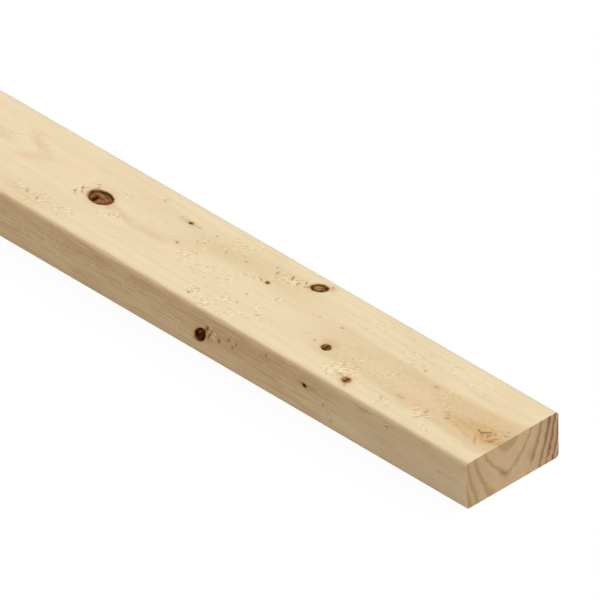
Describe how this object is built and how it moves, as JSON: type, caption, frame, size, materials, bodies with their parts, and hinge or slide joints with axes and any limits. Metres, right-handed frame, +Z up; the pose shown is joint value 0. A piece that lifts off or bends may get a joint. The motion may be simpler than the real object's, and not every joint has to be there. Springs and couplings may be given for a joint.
{
  "type": "timber plank",
  "caption": "Straight planed softwood stud with rounded long edges, square-sawn ends and sunken knots, for framing and carpentry.",
  "frame": {"origin": "middle of the bottom wide face", "axes": "+X along the length towards the sawn end nearest the knots, +Y across the width away from the edge with the dark knot, +Z up through the thickness"},
  "size_m": [2.438, 0.089, 0.038],
  "materials": {
    "planed_softwood": "planed, unfinished"
  },
  "bodies": {
    "root": {"plank": "planed_softwood"}
  },
  "joints": []
}
